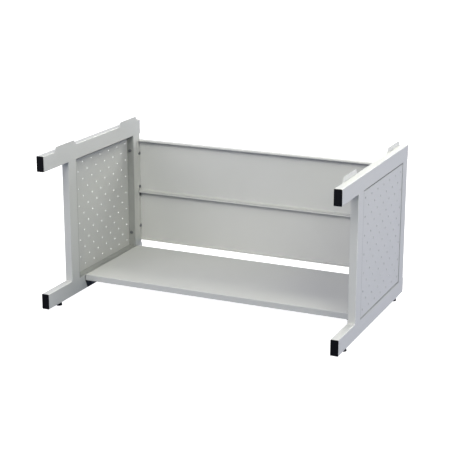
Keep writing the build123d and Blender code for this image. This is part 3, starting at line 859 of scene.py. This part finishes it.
class RACK_OT_plugs(bpy.types.Operator):
    """Model one end plug and set it in all eight tube ends."""

    bl_idname = "rack.plugs"
    bl_label = "End plugs"

    def execute(self, context):
        """Build the right-hand top plug, and copy it to the other tube ends."""
        plastic = moulded_plastic("black_polyethylene", context.scene.rack_finish, PLUG_ROUGHNESS)
        first_node = "right_top_front_plug"
        first = build_plug("right_top_front_end_plug", *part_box(first_node), context.scene.rack_pieces)
        middle = box_middle(first_node)
        pieces = {first_node: first}
        for side in SIDES:
            for level in LEVELS:
                for row, turn in (("front", 0.0), ("rear", math.pi)):
                    node = f"{side}_{level}_{row}_plug"
                    if node != first_node:
                        # Half a turn about the vertical takes the first plug's middle across.
                        was = middle if row == "front" else Vector((-middle.x, -middle.y, middle.z))
                        name = f"{side}_{level}_{row}_end_plug"
                        pieces[node] = copied(first, name, box_middle(node) - was, turn)
        for node, piece in pieces.items():
            finish_piece(piece, plastic, BODY, node)
        return {"FINISHED"}


class RACK_OT_feet(bpy.types.Operator):
    """Model one levelling foot, and set it under both rails, front and rear."""

    bl_idname = "rack.feet"
    bl_label = "Levelling feet"

    def execute(self, context):
        """Build the right-hand front stud and pad, and copy them to the other feet."""
        finish = context.scene.rack_finish
        plastic = moulded_plastic("black_polyamide", finish, PAD_ROUGHNESS)
        zinc = zinc_plate("zinc_plated_stud", finish.zinc, finish.zinc_stain, ZINC_ROUGHNESS)
        kinds = (
            ("foot_stud", build_stud, "levelling_stud", zinc, "zinc_steel"),
            ("foot_pad", build_pad, "levelling_pad", plastic, "black_plastic"),
        )
        for kind, build, visual, material, slot in kinds:
            first_node = f"right_front_{kind}"
            first = build(f"right_front_{visual}", *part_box(first_node), context.scene.rack_pieces)
            pieces = {first_node: first}
            for side in SIDES:
                for row in ROWS:
                    node = f"{side}_{row}_{kind}"
                    if node != first_node:
                        shift = box_middle(node) - box_middle(first_node)
                        pieces[node] = copied(first, f"{side}_{row}_{visual}", shift)
            for node, piece in pieces.items():
                finish_piece(piece, material, node, node)
        return {"FINISHED"}


class RACK_OT_fasteners(bpy.types.Operator):
    """Finish the screws, nuts and inserts in zinc plate."""

    bl_idname = "rack.fasteners"
    bl_label = "Fasteners"

    def execute(self, context):
        """Give the screws dull zinc, and the nuts and inserts bright zinc."""
        finish = context.scene.rack_finish
        zinc = zinc_plate("zinc_plated_steel", finish.zinc, finish.zinc_stain, ZINC_ROUGHNESS)
        dull_zinc = zinc_plate(
            "dull_zinc_plated_steel", finish.dull_zinc, finish.dull_zinc_stain, DULL_ZINC_ROUGHNESS
        )
        finish_cad([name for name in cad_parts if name.endswith(("_nuts", "_insert"))], zinc)
        finish_cad([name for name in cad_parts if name.endswith("_screws")], dull_zinc)
        return {"FINISHED"}


class RACK_OT_stage(bpy.types.Operator):
    """Build the floor, the lights and the camera."""

    bl_idname = "rack.stage"
    bl_label = "Studio stage"

    def execute(self, context):
        """Add the stage round the rack."""
        stage = context.scene.rack_stage
        build_floor()
        build_world(context, stage.ceiling, stage.ground)
        for name, (place, width) in SOFTBOXES.items():
            power = getattr(stage, f"{name}_power")
            colour = getattr(stage, f"{name}_colour")
            add_softbox(f"{name}_softbox", place, width, power, colour)
        build_camera(context, stage.lens)
        context.scene.view_settings.view_transform = "Standard"
        return {"FINISHED"}


def build_floor():
    """A plain white studio floor, which glows evenly and throws no light on the rack."""
    bpy.ops.object.select_all(action="DESELECT")
    height = cad_bounds[0].z - FLOOR_DROP
    bpy.ops.mesh.primitive_plane_add(size=FLOOR_WIDTH, location=(0.0, 0.0, height))
    floor = bpy.context.object
    floor.name = "studio_floor"
    floor.visible_diffuse = False
    floor.visible_glossy = False
    material, tree = new_material("white_studio_floor")
    place = add_node(tree, "ShaderNodeTexCoord", {})
    clouds = add_node(
        tree, "ShaderNodeTexNoise", {"Scale": 1 / FLOOR_CLOUD_SIZE}, [("Vector", place, "Object")]
    )
    tint = add_node(
        tree,
        "ShaderNodeMix",
        {"data_type": "RGBA", FIRST: linear("#9c9c9c"), SECOND: linear("#a2a2a2")},
        [("Factor", clouds, "Fac")],
    )
    paint = add_node(
        tree,
        "ShaderNodeBsdfPrincipled",
        {"Roughness": 0.9, "Emission Strength": 1.0, "Emission Color": WHITE},
        [("Base Color", tint, MIXED)],
    )
    add_node(tree, "ShaderNodeOutputMaterial", {}, [("Surface", paint, "BSDF")])
    floor.data.materials.append(material)


def build_world(context, ceiling, ground):
    """A dim room all round, with white paper behind the rack."""
    world = bpy.data.worlds.new("studio_room")
    world.use_nodes = True
    tree = world.node_tree
    tree.nodes.clear()
    direction = add_node(tree, "ShaderNodeTexCoord", {})
    split = add_node(tree, "ShaderNodeSeparateXYZ", {}, [(0, direction, "Generated")])
    height = add_node(
        tree, "ShaderNodeMapRange", {"From Min": -HORIZON, "From Max": HORIZON}, [("Value", split, "Z")]
    )
    shade = add_node(
        tree,
        "ShaderNodeMix",
        {"data_type": "RGBA", FIRST: ground, SECOND: ceiling},
        [("Factor", height, "Result")],
    )
    room = add_node(tree, "ShaderNodeBackground", {"Strength": 1.0}, [("Color", shade, MIXED)])
    paper = add_node(tree, "ShaderNodeBackground", {"Color": WHITE, "Strength": 1.0})
    ray = add_node(tree, "ShaderNodeLightPath", {})
    both = add_node(
        tree,
        "ShaderNodeMixShader",
        {},
        [(0, ray, "Is Camera Ray"), (1, room, "Background"), (2, paper, "Background")],
    )
    add_node(tree, "ShaderNodeOutputWorld", {}, [("Surface", both, "Shader")])
    context.scene.world = world


def add_softbox(name, place, width, power, colour):
    """A square softbox aimed at the rack's middle."""
    bpy.ops.object.light_add(type="AREA", location=place)
    light = bpy.context.object
    light.name = name
    light.data.size = width
    light.data.energy = power
    light.data.color = colour[:3]
    light.rotation_euler = (LIGHTS_AIM - Vector(place)).to_track_quat("-Z", "Y").to_euler()


def build_camera(context, lens):
    """The camera, above and to the right of the rack's front."""
    rotation = (math.radians(CAMERA_PITCH), 0.0, math.radians(CAMERA_TURN))
    bpy.ops.object.camera_add(location=CAMERA_PLACE, rotation=rotation)
    camera = bpy.context.object
    camera.name = "studio_camera"
    camera.data.lens = lens
    camera.data.sensor_width = SENSOR_WIDTH
    context.scene.camera = camera


class RACK_PT_panel(bpy.types.Panel):
    """The rack's settings, and its operators in the order that they run."""

    bl_idname = "RACK_PT_panel"
    bl_label = "File Rack"
    bl_space_type = "VIEW_3D"
    bl_region_type = "UI"
    bl_category = "File Rack"

    def draw(self, context):
        """List the settings and the operators."""
        scene = context.scene
        for settings in (scene.rack_finish, scene.rack_pieces, scene.rack_stage):
            for name in type(settings).__annotations__:
                self.layout.prop(settings, name)
        for operator in OPERATORS:
            self.layout.operator(operator.bl_idname)


OPERATORS = (
    RACK_OT_frames,
    RACK_OT_sheets,
    RACK_OT_plugs,
    RACK_OT_feet,
    RACK_OT_fasteners,
    RACK_OT_stage,
)
CLASSES = (FinishSettings, PieceSettings, StageSettings, *OPERATORS, RACK_PT_panel)


def register():
    """Register the classes and hang the settings on the scene."""
    for each in CLASSES:
        bpy.utils.register_class(each)
    bpy.types.Scene.rack_finish = bpy.props.PointerProperty(type=FinishSettings)
    bpy.types.Scene.rack_pieces = bpy.props.PointerProperty(type=PieceSettings)
    bpy.types.Scene.rack_stage = bpy.props.PointerProperty(type=StageSettings)


def unregister():
    """Take the settings and the classes away again."""
    del bpy.types.Scene.rack_stage
    del bpy.types.Scene.rack_pieces
    del bpy.types.Scene.rack_finish
    for each in reversed(CLASSES):
        bpy.utils.unregister_class(each)


def main():
    """Build everything."""
    register()
    bpy.ops.rack.frames()
    bpy.ops.rack.sheets()
    bpy.ops.rack.plugs()
    bpy.ops.rack.feet()
    bpy.ops.rack.fasteners()
    bpy.ops.rack.stage()


if __name__ == "__main__":
    main()
